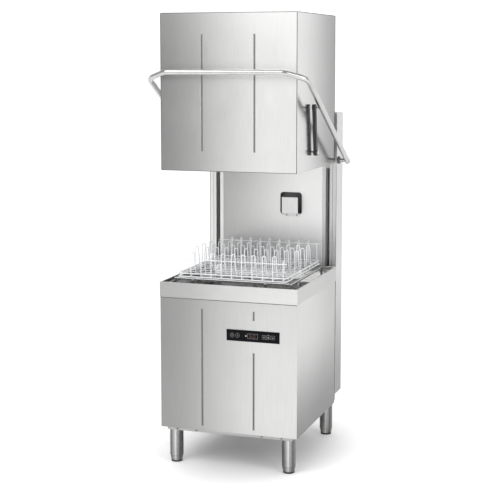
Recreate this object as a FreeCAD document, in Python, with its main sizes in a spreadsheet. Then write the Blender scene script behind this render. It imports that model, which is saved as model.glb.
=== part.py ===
"""Hood-type pass-through dishwasher, hood raised, 500 mm racks.

Frame: millimetres, +X right, +Y to the back, +Z up. The origin is on the floor under the middle of the
whole machine.
"""
import FreeCAD, Part
import math
import os
import re
import Sketcher
from FreeCAD import Vector

SIZES = {
    # overall
    "body_bottom": 166, "rim_overhang": 1.5, "rim_bottom": 745,
    "rim_top": 811, "rim_wall": 6.5, "lip_depth": 14, "sheet": 1.5, "panel_setback": 2, "fit_gap": 0.3,
    # hood
    "hood_side_gap": 1, "hood_setback": 10.3, "hood_rear_gap": 17.7, "hood_height": 668, "hood_bottom": 1296,
    "hood_wall": 17, "hood_overlap": 10, "groove_x": 117, "groove_width": 8, "groove_depth": 3,
    "groove_rise": 85, "groove_drop": 91,
    # rear columns, guides and springs
    "column_width": 69, "column_depth": 104, "column_bottom": 206, "column_top": 1526, "cap_height": 16,
    "cap_round": 11.2,
    "guide_inset": 42.5, "slot_width": 19, "neck_width": 7, "guide_width": 27, "guide_thick": 16,
    "guide_height": 185, "guide_tail": 26, "neck_rise": 18, "spring_diameter": 28, "spring_back": 66,
    "vent_x": 96.5, "vent_z": 1093.5, "vent_width": 77, "vent_height": 78, "vent_depth": 34,
    "vent_flange": 15, "duct_x": 92.6, "duct_z": 1100.3, "duct_size": 104, "duct_corner": 14,
    # handle and links
    "handle_reach": 62.6, "handle_tube": 24, "handle_wall": 2, "pivot_inset": 71, "pivot_z": 1306,
    "handle_angle": 30, "arm_gap": 39.5, "corner_width": 90, "corner_drop": 56, "shaft_diameter": 18,
    "bearing_diameter": 34, "bearing_length": 10, "link_radius": 515, "link_pin_z": 1371.7,
    "link_pin_back": 238, "link_thick": 14, "link_gap": 7, "link_eye": 15, "link_waist": 10,
    "link_pin": 10, "run_gap": 0.05, "stud_gap": 0.6,
    # base, legs and feet
    "base_bottom": 152, "base_top": 190, "base_inset": 24.5, "base_setback": 14, "leg_inset": 51,
    "leg_front": 55, "leg_back_inset": 69, "leg_tube": 60, "leg_tube_wall": 2, "leg_tube_bottom": 30,
    "foot_height": 130, "foot_neck": 49, "foot_edge": 2, "foot_base": 9, "foot_cone": 20, "foot_travel": 20,
    "leg_socket": 52, "upright_depth": 40, "upright_lap": 90,
    "screw_inner": 150, "screw_outer": 239, "screw_head": 9, "screw_height": 3,
    # wash tank
    "tank_inset": 42, "tank_front": 60, "tank_back_inset": 34, "tank_top": 735, "tank_bottom": 560,
    "filter_z": 712, "pillar_diameter": 52, "overflow_inset": 80, "overflow_back_inset": 122,
    "overflow_diameter": 40,
    # wash zone
    "rack_width": 500, "rack_length": 530, "rack_side_gap": 60.5, "rack_front_gap": 47, "rack_rear_gap": 49,
    "rack_z": 828, "rack_height": 110, "rack_wire": 6, "rack_edge": 17.5, "rack_row": 90,
    "rack_ring": 17, "rack_rail": 79, "rear_rail": 93,
    "rail_inset": 4.5, "post_inset": 24, "tank_clear": 8,
    "arm_short": 20, "arm_width": 46, "arm_height": 20, "lower_arm_z": 768,
    "rinse_short": 10, "rinse_width": 18, "rinse_height": 8, "rinse_gap": 6, "upper_arm_z": 1300,
    "hub_diameter": 56, "spindle": 16, "rail_wire": 10, "upper_pipe": 40, "upper_pipe_z": 1350,
    # control panel
    "control_left": -4.7, "control_width": 237, "control_bottom": 574, "control_height": 48.4,
    "control_thick": 2.5, "control_proud": 1,
    # machinery
    "pump_diameter": 132, "pump_length": 190, "pump_ahead": 90, "boiler_diameter": 200, "boiler_height": 330,
    "boiler_wall": 3, "boiler_port": 60,
    "boiler_x": 150, "boiler_behind": 120, "drain_x": 190, "drain_behind": 170, "rinse_pump_x": 40,
    "rinse_behind": 190, "detergent_x": 190, "rinse_aid_x": 255, "hose_diameter": 44, "suction_x": 110,
    "valve_x": 80, "riser_back": 74,
}

DERIVED = {
    "body_width": "(rack_width + 2*rack_side_gap)",
    "machine_depth": "(rack_front_gap + rack_length + rack_rear_gap + column_depth)",
    "rim_width": "(body_width + 2*rim_overhang)",
    "hood_width": "(rim_width - 2*rim_wall - 2*hood_side_gap)",
    "hood_depth": "(machine_depth - column_depth - hood_setback - hood_rear_gap)",
    "guide_x": "(rim_width/2 - guide_inset)",
    "leg_x": "(body_width/2 - leg_inset)",
    "leg_rear": "(machine_depth - leg_back_inset)",
    "arm_x": "(rim_width/2 + arm_gap)",
    "bar_half": "(arm_x - corner_width)",
    "link_x": "(rim_width/2 + link_gap)",
    "tank_half": "(rim_width/2 - tank_inset)",
    "tank_rear": "(machine_depth - column_depth - tank_back_inset)",
    "front": "(-(machine_depth - handle_reach)/2)",
    "back": "(front + machine_depth)",
    "column_front": "(back - column_depth)",
    "hood_front": "(front + hood_setback)",
    "hood_rear": "(hood_front + hood_depth)",
    "hood_top": "(hood_bottom + hood_height)",
    "pivot_y": "(back - pivot_inset)",
    "rack_mid": "(front + rack_front_gap + rack_length/2)",
    "rack_pitch": "((rack_width - 2*rack_edge)/10)",
    "arm_length": "(rack_width - arm_short)",
    "rinse_length": "(arm_length - rinse_short)",
    "base_half": "(body_width/2 - base_inset)",
    "base_front": "(front + base_setback)",
    "base_back": "(back - 2*sheet)",
    "panel_front": "(front + panel_setback)",
    "inner_half": "(rim_width/2 - rim_wall)",
    "column_in": "(rim_width/2 - column_width)",
    "spring_y": "(column_front + spring_back)",
    "spring_top": "(column_top - cap_height - sheet)",
    "tail_z": "(hood_bottom - guide_tail)",
    "rinse_z": "(lower_arm_z + arm_height + rinse_gap)",
    "upper_rinse_z": "(upper_arm_z - rinse_gap - rinse_height)",
    "overflow_x": "(tank_half - overflow_inset)",
    "overflow_y": "(front + tank_rear - overflow_back_inset)",
}

doc = FreeCAD.newDocument("dishwasher")
dims = doc.addObject("Spreadsheet::Sheet", "dims")
for row, (alias, number) in enumerate(SIZES.items(), start=1):
    dims.set(f"A{row}", alias)
    dims.set(f"B{row}", str(number))
    dims.setAlias(f"B{row}", alias)
doc.recompute()

NAME = re.compile(r"[a-z][a-z0-9_]*[a-z0-9]")
AXES = {"x": Vector(1, 0, 0), "y": Vector(0, 1, 0), "z": Vector(0, 0, 1)}
nodes = []


def expand(text):
    """An expression with each derived name written out in driving dimensions."""
    text = str(text)
    while any(name in DERIVED for name in NAME.findall(text)):
        text = NAME.sub(lambda hit: DERIVED.get(hit.group(), hit.group()), text)
    return text


def bound(text):
    """An expression as objects of the document read it."""
    return NAME.sub(lambda hit: f"dims.{hit.group()}" if hit.group() in SIZES else hit.group(), expand(text))


def value(text):
    """The number that an expression stands for now."""
    return float(dims.evalExpression(expand(text)))


def point(x, y, z):
    return Vector(value(x), value(y), value(z))


def place(item, x=0, y=0, z=0):
    for axis, text in zip("xyz", (x, y, z)):
        item.setExpression(f".Placement.Base.{axis}", bound(text))
    return item


def node(label, item):
    """Name a finished sub-part and list it for export."""
    item.Label = label
    nodes.append(item)
    return item


def box(x, y, z):
    """A block between two X, two Y and two Z places."""
    item = doc.addObject("Part::Box", "block")
    for size, (low, high) in zip(("Length", "Width", "Height"), (x, y, z)):
        item.setExpression(size, bound(f"({high}) - ({low})"))
    return place(item, x[0], y[0], z[0])


def rod(axis, start, diameter, length):
    """A round bar along an axis, from the middle of its first end."""
    item = doc.addObject("Part::Cylinder", "rod")
    item.setExpression("Radius", bound(f"({diameter})/2"))
    item.setExpression("Height", bound(length))
    item.Placement.Rotation = FreeCAD.Rotation(AXES["z"], AXES[axis])
    return place(item, *start)


def taper(top, bottom, x_low, x_top, y_low, y_top):
    """A block that widens upwards: half widths in X and (low, high) places in Y at its two heights."""
    item = doc.addObject("Part::Wedge", "taper")
    for size, text in (
        ("Xmin", f"-({x_low})"), ("Xmax", x_low), ("X2min", f"-({x_top})"), ("X2max", x_top),
        ("Ymin", "0"), ("Ymax", f"({top}) - ({bottom})"),
        ("Zmin", f"-({y_low[1]})"), ("Zmax", f"-({y_low[0]})"),
        ("Z2min", f"-({y_top[1]})"), ("Z2max", f"-({y_top[0]})"),
    ):
        item.setExpression(size, bound(text))
    item.Placement.Rotation = FreeCAD.Rotation(AXES["x"], 90)
    return place(item, 0, 0, bottom)


def fuse(*items):
    whole = doc.addObject("Part::MultiFuse", "joined")
    whole.Shapes = list(items)
    return whole


def group(*items):
    whole = doc.addObject("Part::Compound", "group")
    whole.Links = list(items)
    return whole


def cut(base, *tools):
    whole = doc.addObject("Part::Cut", "cut")
    whole.Base = base
    whole.Tool = tools[0] if len(tools) == 1 else fuse(*tools)
    return whole


def ring_x(side, text):
    """An X place mirrored for the left side, as an ordered pair when given a pair."""
    return (text[0], text[1]) if side > 0 else (f"-({text[1]})", f"-({text[0]})")


def outline(body, plane, points, name):
    """A closed sketch of straight lines whose corners are tied to the sheet."""
    sketch = body.newObject("Sketcher::SketchObject", name)
    origin_plane = [item for item in body.Origin.OriginFeatures if item.Role == plane][0]
    sketch.AttachmentSupport = [(origin_plane, "")]
    sketch.MapMode = "FlatFace"
    corners = [Vector(value(a), value(b), 0) for a, b in points]
    count = len(points)
    for index in range(count):
        sketch.addGeometry(Part.LineSegment(corners[index], corners[(index + 1) % count]), False)
    for index in range(count):
        sketch.addConstraint(Sketcher.Constraint("Coincident", index, 2, (index + 1) % count, 1))
    for index in range(count):
        for kind, number, text in (
            ("DistanceX", corners[index].x, points[index][0]),
            ("DistanceY", corners[index].y, points[index][1]),
        ):
            slot = sketch.addConstraint(Sketcher.Constraint(kind, -1, 1, index, 1, number))
            sketch.setExpression(f"Constraints[{slot}]", bound(text))
    return sketch


def prism(plane, points, length, at):
    """A padded outline."""
    body = doc.addObject("PartDesign::Body", "prism")
    pad = body.newObject("PartDesign::Pad", "pad")
    pad.Profile = outline(body, plane, points, "profile")
    pad.setExpression("Length", bound(length))
    return place(body, *at)


def turned(points, at):
    """A body of revolution about a vertical axis, from its half section in radius and height."""
    body = doc.addObject("PartDesign::Body", "turned")
    turn = body.newObject("PartDesign::Revolution", "turn")
    turn.Profile = outline(body, "XZ_Plane", points, "half_section")
    turn.ReferenceAxis = (turn.Profile[0], ["V_Axis"])
    turn.Angle = 360
    return place(body, *at)


def rounded_path(points, radius):
    """A wire of straight runs joined by tangent arcs."""
    edges = []
    last = points[0]
    for before, corner, after in zip(points, points[1:], points[2:]):
        into = (corner - before).normalize()
        out = (after - corner).normalize()
        half_turn = into.getAngle(out)/2
        reach = radius*math.tan(half_turn)
        start = corner - into*reach
        end = corner + out*reach
        inward = (out - into).normalize()
        middle = corner + inward*(radius/math.cos(half_turn) - radius)
        edges.append(Part.LineSegment(last, start).toShape())
        edges.append(Part.Arc(start, middle, end).toShape())
        last = end
    edges.append(Part.LineSegment(last, points[-1]).toShape())
    return Part.Wire(edges)


def piped(points, diameter, radius, wall=0):
    """A bent tube, or a bent bar when it has no wall."""
    path = rounded_path(points, radius)
    along = points[1] - points[0]
    solids = []
    for across in ([diameter, diameter - 2*wall] if wall else [diameter]):
        circle = Part.Wire(Part.Circle(points[0], along, across/2).toShape())
        solids.append(path.makePipeShell([circle], True, False))
    shape = solids[0].cut(solids[1]) if wall else solids[0]
    item = doc.addObject("Part::Feature", "pipe")
    item.Shape = shape
    return item


# ---------------------------------------------------------------- base, legs and feet
def base_frame():
    half = "base_half"
    deck = cut(
        box((f"-{half}", half), ("base_front", "base_back"), ("base_bottom", "base_top")),
        box((f"-({half} - 2*sheet)", f"{half} - 2*sheet"), ("base_front + 2*sheet", "base_back - 2*sheet"),
            ("base_bottom - 1", "base_top - 2*sheet")),
    )
    corners = []
    for x in ("leg_x", "-leg_x"):
        for y in ("front + leg_front", "front + leg_rear"):
            corners.append(box((f"{x} - leg_socket/2", f"{x} + leg_socket/2"),
                               (f"{y} - leg_socket/2", f"{y} + leg_socket/2"),
                               ("base_bottom", "base_top - 2*sheet")))
    for side in (-1, 1):
        corners.append(box(ring_x(side, ("column_in + sheet", "base_half")),
                           ("column_front + sheet", "column_front + upright_depth"),
                           ("base_top - sheet", "column_bottom + upright_lap")))
    node("base_frame", fuse(deck, *corners))


def legs():
    for front_rear, y in (("front", "front + leg_front"), ("rear", "front + leg_rear")):
        for side, x in (("left", "-leg_x"), ("right", "leg_x")):
            tube, bore = "leg_tube/2", "(leg_tube/2 - leg_tube_wall)"
            crown = "base_bottom - leg_tube_wall"
            node(f"leg_{front_rear}_{side}", turned(
                [(bore, "leg_tube_bottom"), (tube, "leg_tube_bottom"), (tube, "base_bottom"),
                 ("0", "base_bottom"), ("0", crown), (bore, crown)], (x, y, 0)))
            stem = "(leg_tube/2 - leg_tube_wall - fit_gap)"
            node(f"foot_{front_rear}_{side}", turned(
                [("0", "0"), ("foot_neck/2 - foot_edge", "0"), ("foot_neck/2", "foot_edge"),
                 ("foot_neck/2", "foot_base"), (stem, "foot_cone"), (stem, "foot_height - foot_travel - 4"),
                 (f"{stem} - 4", "foot_height - foot_travel"), ("0", "foot_height - foot_travel")],
                (x, y, 0)))


def base_screws():
    heads = [rod("y", (x, "base_front - screw_height", "(base_bottom + body_bottom)/2"), "screw_head",
                 "screw_height")
             for x in ("-screw_outer", "-screw_inner", "screw_inner", "screw_outer")]
    node("base_screws", group(*heads))


# ---------------------------------------------------------------- outer panels
def front_panel():
    half = "body_width/2"
    skin = box((f"-{half}", half), ("panel_front", "panel_front + sheet"), ("body_bottom", "rim_bottom"))
    hem = box(("-base_half", "base_half"), ("panel_front + sheet", "base_front"),
              ("body_bottom", "body_bottom + sheet"))
    runs = (
        ("-groove_x", "body_bottom + 20", "rim_bottom - 42"),
        ("groove_x", "body_bottom + 21", "control_bottom - 49"),
        ("groove_x", "control_bottom + control_height + 43", "rim_bottom - 40"),
    )
    ribs = []
    grooves = []
    for x, low, high in runs:
        wide = "(groove_width/2 + sheet)"
        ribs.append(box((f"{x} - {wide}", f"{x} + {wide}"),
                        ("panel_front + sheet", "panel_front + sheet + groove_depth"),
                        (f"{low} - sheet", f"{high} + sheet")))
        grooves.append(box((f"{x} - groove_width/2", f"{x} + groove_width/2"),
                           ("panel_front - 1", "panel_front + groove_depth"), (low, high)))
    window = box(("control_left - fit_gap", "control_left + control_width + fit_gap"),
                 ("panel_front - 1", "panel_front + sheet + 1"),
                 ("control_bottom - fit_gap", "control_bottom + control_height + fit_gap"))
    node("front_panel", cut(fuse(skin, hem, *ribs), window, *grooves))


def side_panels():
    for side, sign in (("left", -1), ("right", 1)):
        half, inner = "body_width/2", "(body_width/2 - sheet)"
        corners = [(half, "body_bottom"), (half, "rim_bottom"), (inner, "rim_bottom"),
                   (inner, "body_bottom + sheet"), ("base_half", "body_bottom + sheet"),
                   ("base_half", "body_bottom")]
        if sign < 0:
            corners = [(f"-({x})", z) for x, z in corners]
        node(f"side_panel_{side}", prism("XZ_Plane", corners,
             "(column_front - 9) - (panel_front + sheet)", (0, "column_front - 9", 0)))


def rear_panels():
    half = "column_in"
    node("rear_panel", box((f"-{half}", half), ("back - sheet", "back"), ("base_top", "rim_top")))
    face = box((f"-{half}", half), ("column_front", "column_front + sheet"), ("rim_bottom", "column_top"))
    hole = rod("y", ("0", "column_front - 1", "upper_pipe_z"), "upper_pipe + 2*fit_gap", "sheet + 2")
    node("back_panel", cut(face, hole, *duct_opening()))


def duct_opening():
    """The square steam opening with rounded corners, as cutting tools."""
    deep = ("column_front - 1", "column_front + sheet + 1")
    half, inner = "(duct_size/2)", "(duct_size/2 - duct_corner)"
    tools = [box((f"duct_x - {wide}", f"duct_x + {wide}"), deep, (f"duct_z - {tall}", f"duct_z + {tall}"))
             for wide, tall in ((half, inner), (inner, half))]
    for across in (f"duct_x - {inner}", f"duct_x + {inner}"):
        for up in (f"duct_z - {inner}", f"duct_z + {inner}"):
            tools.append(rod("y", (across, deep[0], up), "2*duct_corner", "sheet + 2"))
    return tools


def vent_cover():
    """A plate that stands off before the steam opening, folded back below it and screwed to the panel."""
    wide = ("vent_x - vent_width/2", "vent_x + vent_width/2")
    bottom = "(vent_z - vent_height/2)"
    face = "(column_front - vent_depth)"
    plate = box(wide, (face, f"{face} + sheet"), (bottom, f"{bottom} + vent_height"))
    fold = box(wide, (face, "column_front"), (bottom, f"{bottom} + sheet"))
    flange = box(wide, ("column_front - sheet", "column_front"),
                 (f"{bottom} - vent_flange", f"{bottom} + sheet"))
    node("vent_cover", fuse(plate, fold, flange))


# ---------------------------------------------------------------- rear columns
def columns():
    for side, sign in (("left", -1), ("right", 1)):
        outer = "rim_width/2"
        low, high = ring_x(sign, ("column_in", outer))
        inner = ring_x(sign, ("column_in + sheet", f"{outer} - sheet"))
        shell = box((low, high), ("column_front", "back"), ("column_bottom", "column_top - cap_height"))
        hollow = box(inner, ("column_front + sheet", "back - sheet"),
                     ("column_bottom - 1", "column_top"))
        slot = box(ring_x(sign, ("guide_x - slot_width/2", "guide_x + slot_width/2")),
                   ("column_front - 1", "column_front + sheet + 1"),
                   ("rim_top + 2", "hood_bottom + guide_height + 24"))
        bore = rod("x", (f"{sign}*(column_in - 1)" if sign > 0 else f"-({outer} + 1)", "pivot_y", "pivot_z"),
                   "bearing_diameter - 8", "column_width + 2")
        node(f"column_{side}", cut(shell, hollow, slot, bore))
        crown = box((low, high), ("column_front", "back"), ("column_top - cap_height", "column_top"))
        round_cap = doc.addObject("Part::Fillet", "rounded")
        round_cap.Base = crown
        doc.recompute()
        extent = crown.Shape.BoundBox
        round_over = value("cap_round")
        edges = []
        for number, edge in enumerate(crown.Shape.Edges, start=1):
            middle = edge.BoundBox.Center
            if max(extent.ZMax - middle.z, extent.YMax - middle.y) < 0.01:
                edges.append((number, round_over, round_over))
        round_cap.Edges = edges
        peg = rod("z", (f"{sign}*guide_x", "spring_y", "spring_top"), "spring_diameter", "sheet")
        node(f"column_cap_{side}", fuse(round_cap, peg))
        flange = rod("x", (outer if sign > 0 else f"-({outer} + bearing_length/2)", "pivot_y", "pivot_z"),
                     "bearing_diameter", "bearing_length/2")
        sleeve = rod("x", (f"{outer} - sheet - 4" if sign > 0 else f"-({outer})", "pivot_y", "pivot_z"),
                     "bearing_diameter - 8", "sheet + 4")
        shaft_bore = rod("x", (f"{outer} - 20" if sign > 0 else f"-({outer} + 20)", "pivot_y", "pivot_z"),
                         "shaft_diameter + 2*run_gap", "40")
        node(f"shaft_bearing_{side}", cut(fuse(flange, sleeve), shaft_bore))
        coil = rod("z", (f"{sign}*guide_x", "spring_y", "tail_z + 3*sheet"), "spring_diameter",
                   "spring_top - tail_z - 3*sheet")
        core = rod("z", (f"{sign}*guide_x", "spring_y", "tail_z"), "spring_diameter - 8",
                   "spring_top - tail_z + 10")
        node(f"spring_{side}", cut(coil, core))


# ---------------------------------------------------------------- hood
def hood():
    half = "hood_width/2"
    shell = box((f"-{half}", half), ("hood_front", "hood_rear"), ("hood_bottom", "hood_top"))
    hollow = box((f"-{half} + sheet", f"{half} - sheet"), ("hood_front + sheet", "hood_rear + 1"),
                 ("hood_bottom - 1", "hood_top - sheet"))
    grooves = []
    ribs = []
    for x in ("-groove_x", "groove_x"):
        low, high = "hood_bottom + groove_rise", "hood_top - groove_drop"
        wide = "(groove_width/2 + sheet)"
        ribs.append(box((f"{x} - {wide}", f"{x} + {wide}"),
                        ("hood_front + sheet", "hood_front + sheet + groove_depth"),
                        (f"{low} - sheet", f"{high} + sheet")))
        grooves.append(box((f"{x} - groove_width/2", f"{x} + groove_width/2"),
                           ("hood_front - 1", "hood_front + groove_depth"), (low, high)))
    node("hood_shell", cut(fuse(cut(shell, hollow), *ribs), *grooves))

    inner = f"({half} - hood_wall)"
    flange = f"({half} - sheet)"
    liner = box((f"-{inner}", inner), ("hood_front + hood_wall", "hood_rear"),
                ("hood_bottom", "hood_top - hood_wall"))
    edge = box((f"-{flange}", flange), ("hood_front + sheet", "hood_rear"),
               ("hood_bottom", "hood_bottom + sheet"))
    cavity = box((f"-{inner} + sheet", f"{inner} - sheet"),
                 ("hood_front + hood_wall + sheet", "hood_rear + 1"),
                 ("hood_bottom - 1", "hood_top - hood_wall - sheet"))
    node("hood_liner", cut(fuse(liner, edge), cavity))

    for side, sign in (("left", -1), ("right", 1)):
        low, high = "hood_bottom + neck_rise", "hood_bottom + guide_height"
        post = box(ring_x(sign, (inner, flange)), ("hood_rear - 24", "hood_rear"),
                   (low, "hood_top - hood_wall"))
        plate = box(ring_x(sign, ("guide_x - neck_width/2", flange)), ("hood_rear", "hood_rear + 3*sheet"),
                    (low, high))
        neck = box(ring_x(sign, ("guide_x - neck_width/2", "guide_x + neck_width/2")),
                   ("hood_rear", "column_front + 3*sheet"), (low, high))
        bar_front = "column_front + 2*sheet"
        bar = box(ring_x(sign, ("guide_x - guide_width/2", "guide_x + guide_width/2")),
                  (bar_front, f"{bar_front} + guide_thick"), ("tail_z", high))
        hook = box(ring_x(sign, ("guide_x - neck_width/2", "guide_x + neck_width/2")),
                   (bar_front, "spring_y + spring_diameter/2"), ("tail_z", "tail_z + 3*sheet"))
        node(f"hood_guide_{side}", fuse(post, plate, neck, bar, hook))


# ---------------------------------------------------------------- handle and links
def handle():
    angle = math.radians(value("handle_angle"))
    pivot = point(0, "pivot_y", "pivot_z")
    along = Vector(0, -math.cos(angle), math.sin(angle))
    across = AXES["x"]
    tube = value("handle_tube")
    bar_run = (value("pivot_y") - value("front") + value("handle_reach") - tube/2)/math.cos(angle)
    arm_run = bar_run - value("corner_drop")
    arm_x, bar_half = value("arm_x"), value("bar_half")
    tip = -value("shaft_diameter")
    route = [(-arm_x, tip), (-arm_x, arm_run), (-bar_half, bar_run), (bar_half, bar_run),
             (arm_x, arm_run), (arm_x, tip)]
    points = [pivot + across*x + along*run for x, run in route]
    bar = piped(points, tube, 2.2*tube, value("handle_wall"))
    tools = [rod("x", (x, "pivot_y", "pivot_z"), "shaft_diameter", "handle_tube + 4")
             for x in ("arm_x - handle_tube/2 - 2", "-arm_x - handle_tube/2 - 2")]
    link_y = f"(pivot_y - link_radius*{math.cos(angle):.9f})"
    link_z = f"(pivot_z + link_radius*{math.sin(angle):.9f})"
    for sign in (-1, 1):
        start = "arm_x - handle_tube/2 - 2" if sign > 0 else "-arm_x - 2"
        tools.append(rod("x", (start, link_y, link_z), "link_pin", "handle_tube/2 + 4"))
    node("handle_bar", cut(bar, *tools))
    node("handle_shaft", rod("x", ("-arm_x - handle_tube/2", "pivot_y", "pivot_z"), "shaft_diameter",
                             "2*arm_x + handle_tube"))
    for side, sign in (("left", -1), ("right", 1)):
        low, high = ring_x(sign, ("link_x - link_thick/2", "arm_x"))
        node(f"link_pin_{side}", rod("x", (low, link_y, link_z), "link_pin", f"({high}) - ({low})"))
        link(side, sign, link_y, link_z)


def link(side, sign, top_y, top_z):
    """A bone-shaped strap: two eyes joined by a narrower waist, with the lower stud pressed in."""
    low, high = ring_x(sign, ("link_x - link_thick/2", "link_x + link_thick/2"))
    foot_y, foot_z = "(front + link_pin_back)", "link_pin_z"
    eyes = [rod("x", (low, y, z), "2*link_eye", "link_thick") for y, z in ((foot_y, foot_z), (top_y, top_z))]
    length = math.hypot(value(top_y) - value(foot_y), value(top_z) - value(foot_z))
    lean = math.degrees(math.atan2(value(top_y) - value(foot_y), value(top_z) - value(foot_z)))
    waist = doc.addObject("Part::Box", "waist")
    waist.setExpression("Length", bound("link_thick"))
    waist.setExpression("Width", bound("2*link_waist"))
    waist.Height = length
    turn = FreeCAD.Rotation(AXES["x"], -lean)
    waist.Placement = FreeCAD.Placement(
        point(low, foot_y, foot_z) + turn.multVec(Vector(0, -value("link_waist"), 0)), turn)
    bores = [rod("x", (f"({low}) - 1", top_y, top_z), "link_pin + 2*run_gap", "link_thick + 2"),
             rod("x", (f"({low}) - 1", foot_y, foot_z), "link_pin", "link_thick + 2")]
    node(f"link_{side}", cut(fuse(waist, *eyes), *bores))
    start, stop = ring_x(sign, ("hood_width/2 + stud_gap", "link_x + link_thick/2"))
    shank = rod("x", (start, foot_y, foot_z), "link_pin", f"({stop}) - ({start})")
    face = "link_x + link_thick/2"
    cap = rod("x", (face if sign > 0 else f"-({face} + 5)", foot_y, foot_z), "1.9*link_pin", "5")
    node(f"link_stud_{side}", fuse(shank, cap))


# ---------------------------------------------------------------- tank and wash zone
def tank_rim():
    outer, inner = "rim_width/2", "inner_half"
    rear = "column_front"
    band = box((f"-{outer}", outer), ("front", rear), ("rim_bottom", "rim_top"))
    opening = box((f"-{inner}", inner), ("front + rim_wall", f"{rear} - rim_wall"),
                  ("rim_bottom - 1", "rim_top + 1"))
    fold_out = box((f"-{outer} + sheet", f"{outer} - sheet"), ("front + sheet", f"{rear} - sheet"),
                   ("rim_bottom - 1", "rim_top - sheet"))
    fold_in = box((f"-{inner} - sheet", f"{inner} + sheet"),
                  ("front + rim_wall - sheet", f"{rear} - rim_wall + sheet"), ("rim_bottom - 2", "rim_top"))
    node("tank_rim", cut(cut(band, opening), cut(fold_out, fold_in)))


def wash_tank():
    top = "rim_top - lip_depth"
    y_low = ("front + tank_front", "front + tank_rear")
    y_top = ("front + rim_wall", "column_front - rim_wall")
    funnel = taper(top, "tank_top", "tank_half", "inner_half", y_low, y_top)
    hollow = taper(f"{top} + 2*sheet", "tank_top + 2*sheet", "tank_half", "inner_half", y_low, y_top)
    basin = box(("-tank_half", "tank_half"), y_low, ("tank_bottom", "tank_top"))
    inside = box(("-tank_half + sheet", "tank_half - sheet"),
                 ("front + tank_front + sheet", "front + tank_rear - sheet"),
                 ("tank_bottom + sheet", "tank_top + 4*sheet"))
    pillar = rod("z", ("0", "rack_mid", "tank_bottom - 1"), "pillar_diameter", "sheet + 2")
    waste = rod("z", ("overflow_x", "overflow_y", "tank_bottom - 1"), "overflow_diameter - 6", "sheet + 2")
    node("wash_tank", cut(fuse(funnel, basin), hollow, inside, pillar, waste))


def tank_fittings():
    plate = box(("-tank_half + sheet", "tank_half - sheet"),
                ("front + tank_front + sheet", "front + tank_rear - sheet"),
                ("filter_z", "filter_z + sheet"))
    holes = [rod("z", ("0", "rack_mid", "filter_z - 1"), "pillar_diameter + 4", "sheet + 2"),
             rod("z", ("overflow_x", "overflow_y", "filter_z - 1"), "overflow_diameter + 4", "sheet + 2")]
    node("tank_filter", cut(plate, *holes))
    pipe = rod("z", ("overflow_x", "overflow_y", "tank_bottom + sheet"), "overflow_diameter",
               "filter_z - tank_bottom + 12")
    bore = rod("z", ("overflow_x", "overflow_y", "tank_bottom"), "overflow_diameter - 4",
               "filter_z - tank_bottom + 40")
    node("overflow_pipe", cut(pipe, bore))
    low = point(0, "front + tank_front", "tank_bottom + 30")
    wall = value("sheet")
    points = [low + Vector(x, y, 0) for x, y in ((-150, wall), (-150, 130), (150, 130), (150, wall))]
    node("tank_heater", piped(points, 10, 40))


def spray_arm(label, z, length, width, height, bore_diameter):
    """A flat arm with rounded ends, turning on the spindle in its middle."""
    arm_body = box((f"-{length}/2 + {width}/2", f"{length}/2 - {width}/2"),
                   (f"rack_mid - {width}/2", f"rack_mid + {width}/2"), (z, f"{z} + {height}"))
    ends = [rod("z", (x, "rack_mid", z), width, height)
            for x in (f"-{length}/2 + {width}/2", f"{length}/2 - {width}/2")]
    bore = rod("z", ("0", "rack_mid", f"{z} - 1"), bore_diameter, f"{height} + 2")
    boss = rod("z", ("0", "rack_mid", z), "hub_diameter - 10", height)
    node(label, cut(fuse(arm_body, boss, *ends), bore))


def wash_zone():
    bore = "spindle + 2*run_gap"
    spray_arm("lower_wash_arm", "lower_arm_z", "arm_length", "arm_width", "arm_height", bore)
    spray_arm("lower_rinse_arm", "rinse_z", "rinse_length", "rinse_width", "rinse_height", bore)
    spray_arm("upper_wash_arm", "upper_arm_z", "arm_length", "arm_width", "arm_height", bore)
    spray_arm("upper_rinse_arm", "upper_rinse_z", "rinse_length", "rinse_width", "rinse_height", bore)

    pillar = rod("z", ("0", "rack_mid", "tank_bottom - 40"), "pillar_diameter",
                 "lower_arm_z - fit_gap - tank_bottom + 40")
    pin = rod("z", ("0", "rack_mid", "lower_arm_z - 2"), "spindle",
              "rinse_z + rinse_height - lower_arm_z + 6")
    node("lower_manifold", fuse(pillar, pin))

    pipe = rod("y", ("0", "rack_mid", "upper_pipe_z"), "upper_pipe", "column_front + 24 - (rack_mid)")
    hub = rod("z", ("0", "rack_mid", "upper_arm_z + arm_height + fit_gap"), "hub_diameter",
              "upper_pipe_z + upper_pipe/2 + 4 - upper_arm_z - arm_height - fit_gap")
    stem = rod("z", ("0", "rack_mid", "upper_rinse_z - 4"), "spindle", "upper_pipe_z - upper_rinse_z")
    node("upper_manifold", fuse(pipe, hub, stem))


def rack_support():
    """Rails under the rack's edges, on four posts that stand on the edge of the filter tray."""
    top = "(rack_z - fit_gap - rail_wire/2)"
    reach, post_reach = "(rack_length/2 - rail_inset)", "(rack_length/2 - post_inset)"
    post = "(tank_half - tank_clear)"
    rails = []
    for y in (f"rack_mid - {reach}", f"rack_mid + {reach}"):
        rails.append(rod("x", (f"-{post}", y, top), "rail_wire", f"2*{post}"))
    for x in (f"-{post}", post):
        for y in (f"rack_mid - {post_reach}", f"rack_mid + {post_reach}"):
            rails.append(rod("z", (x, y, "filter_z + sheet"), "rail_wire", f"{top} - filter_z - sheet"))
        rails.append(rod("y", (x, f"rack_mid - {reach}", f"{top} - rail_wire/2"), "rail_wire", f"2*{reach}"))
    node("rack_support", fuse(*rails))


def wire(axis, start, across, length):
    """A square-section wire along an axis, from the middle of its first end."""
    spans = []
    for name, place_at in zip("xyz", start):
        if name == axis:
            spans.append((place_at, f"{place_at} + {length}"))
        else:
            spans.append((f"{place_at} - ({across})/2", f"{place_at} + ({across})/2"))
    return box(*spans)


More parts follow.
